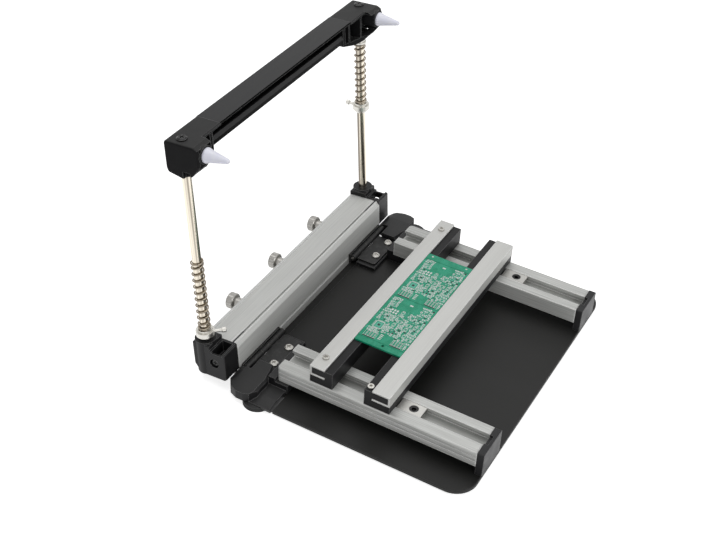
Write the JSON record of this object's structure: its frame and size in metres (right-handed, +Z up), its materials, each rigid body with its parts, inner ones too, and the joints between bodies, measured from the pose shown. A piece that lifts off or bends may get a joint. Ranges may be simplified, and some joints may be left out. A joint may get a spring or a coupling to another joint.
{
  "type": "stencil printer",
  "caption": "Bench stencil printer: slotted rails with sliding board clamps on a base plate, and a hinged stencil frame with a sprung crossbar on two rods.",
  "frame": {"origin": "bottom centre of the base, on the surface it stands on, midway between the rails", "axes": "+Z up, +X to the right seen from the operator, +Y from the operator's side to the hinges; the stencil frame is at rest open, leaned back about 4 degrees"},
  "size_m": [0.3052, 0.2812, 0.2369],
  "materials": {
    "plate_black": "matte black powder coat",
    "bar_black": "satin black anodised",
    "moulded_black": "moulded, satin",
    "aluminium": "extruded, satin anodised",
    "steel": "turned, bright",
    "plated": "bright plated",
    "spring_steel": "bright plated wire",
    "hinge_black": "black, slightly worn",
    "black_steel": "blackened steel screws",
    "pad_rubber": "matte",
    "cone_white": "smooth translucent white",
    "board_green": "solder mask"
  },
  "bodies": {
    "base": {"base_plate": "plate_black", "base_pads": "pad_rubber", "corner_feet": "pad_rubber", "left_rail": "aluminium", "right_rail": "aluminium", "left_rail_cap": "moulded_black", "right_rail_cap": "moulded_black", "left_corner_block": "moulded_black", "right_corner_block": "moulded_black", "left_hinge_block": "moulded_black", "right_hinge_block": "moulded_black", "left_base_leaf": "hinge_black", "right_base_leaf": "hinge_black", "left_hinge_pin": "steel", "right_hinge_pin": "steel", "leaf_screws": "plated"},
    "frame": {"clamp_bar": "aluminium", "left_frame_leaf": "hinge_black", "right_frame_leaf": "hinge_black", "left_end_block": "moulded_black", "right_end_block": "moulded_black", "end_screws": "black_steel", "left_rod": "plated", "right_rod": "plated"},
    "crossbar": {"crossbar": "bar_black", "left_crossbar_block": "moulded_black", "right_crossbar_block": "moulded_black", "right_bush": "steel", "crossbar_screws": "black_steel", "left_cone_foot": "cone_white", "right_cone_foot": "cone_white"},
    "left_collar": {"left_collar": "steel", "left_spring": "spring_steel"},
    "right_collar": {"right_collar": "steel", "right_spring": "spring_steel"},
    "left_collar_screw": {"left_collar_screw": "steel"},
    "right_collar_screw": {"right_collar_screw": "steel"},
    "jaw": {"clamp_jaw": "aluminium"},
    "thumb_screw_1": {"thumb_screw_1": "plated"},
    "thumb_screw_2": {"thumb_screw_2": "plated"},
    "thumb_screw_3": {"thumb_screw_3": "plated"},
    "rear_clamp": {"rear_clamp_channel": "aluminium", "rear_clamp_insert": "moulded_black", "rear_clamp_screws": "plated"},
    "front_clamp": {"front_clamp_channel": "aluminium", "front_clamp_insert": "moulded_black", "front_clamp_screws": "plated", "left_slot_nut": "steel", "right_slot_nut": "steel"},
    "left_grub_screw": {"left_grub_screw": "black_steel"},
    "right_grub_screw": {"right_grub_screw": "black_steel"},
    "board": {"circuit_board": "board_green"}
  },
  "joints": [
    {"name": "frame_hinge", "type": "hinge", "parent": "base", "child": "frame", "pos_m": [0, 0.112, 0.011], "axis": [1, 0, 0], "range_deg": [0, 92]},
    {"name": "crossbar_slide", "type": "slide", "parent": "frame", "child": "crossbar", "axis": [0, 0.0706, 0.9975], "range_m": [-0.015, 0], "deforming": ["right_spring"]},
    {"name": "left_collar_slide", "type": "slide", "parent": "frame", "child": "left_collar", "axis": [0, 0.0706, 0.9975], "range_m": [0, 0.05]},
    {"name": "right_collar_slide", "type": "slide", "parent": "frame", "child": "right_collar", "axis": [0, 0.0706, 0.9975], "range_m": [-0.06, 0]},
    {"name": "left_collar_screw_turn", "type": "hinge", "parent": "left_collar", "child": "left_collar_screw", "pos_m": [-0.134, 0.14386, 0.04754], "axis": [0.6428, -0.7641, 0.0541], "range_deg": [-90, 360]},
    {"name": "right_collar_screw_turn", "type": "hinge", "parent": "right_collar", "child": "right_collar_screw", "pos_m": [0.134, 0.1498, 0.13143], "axis": [0.1045, 0.992, -0.0702], "range_deg": [-90, 360]},
    {"name": "jaw_slide", "type": "slide", "parent": "frame", "child": "jaw", "axis": [0, 0.9975, -0.0706], "range_m": [0, 0.0014]},
    {"name": "thumb_screw_1_turn", "type": "hinge", "parent": "jaw", "child": "thumb_screw_1", "pos_m": [-0.069, 0.15757, 0.02883], "axis": [0, 0.9975, -0.0706], "range_deg": [0, 720]},
    {"name": "thumb_screw_2_turn", "type": "hinge", "parent": "jaw", "child": "thumb_screw_2", "pos_m": [0, 0.15757, 0.02883], "axis": [0, 0.9975, -0.0706], "range_deg": [0, 720]},
    {"name": "thumb_screw_3_turn", "type": "hinge", "parent": "jaw", "child": "thumb_screw_3", "pos_m": [0.069, 0.15757, 0.02883], "axis": [0, 0.9975, -0.0706], "range_deg": [0, 720]},
    {"name": "rear_clamp_slide", "type": "slide", "parent": "base", "child": "rear_clamp", "axis": [0, 1, 0], "range_m": [0, 0.03]},
    {"name": "front_clamp_slide", "type": "slide", "parent": "base", "child": "front_clamp", "axis": [0, 1, 0], "range_m": [-0.055, 0]},
    {"name": "left_grub_screw_turn", "type": "hinge", "parent": "front_clamp", "child": "left_grub_screw", "pos_m": [-0.1021, -0.04, 0.026], "axis": [0, 0, 1], "range_deg": [-90, 720]},
    {"name": "right_grub_screw_turn", "type": "hinge", "parent": "front_clamp", "child": "right_grub_screw", "pos_m": [0.1021, -0.04, 0.026], "axis": [0, 0, 1], "range_deg": [-90, 720]},
    {"name": "board_lift", "type": "slide", "parent": "rear_clamp", "child": "board", "axis": [0, 0, 1], "range_m": [0, 0.04]}
  ],
  "couplings": [
    {"joint": "thumb_screw_1_turn", "follows": "jaw_slide", "rad_per_m": 8976},
    {"joint": "thumb_screw_2_turn", "follows": "jaw_slide", "rad_per_m": 8976},
    {"joint": "thumb_screw_3_turn", "follows": "jaw_slide", "rad_per_m": 8976}
  ]
}
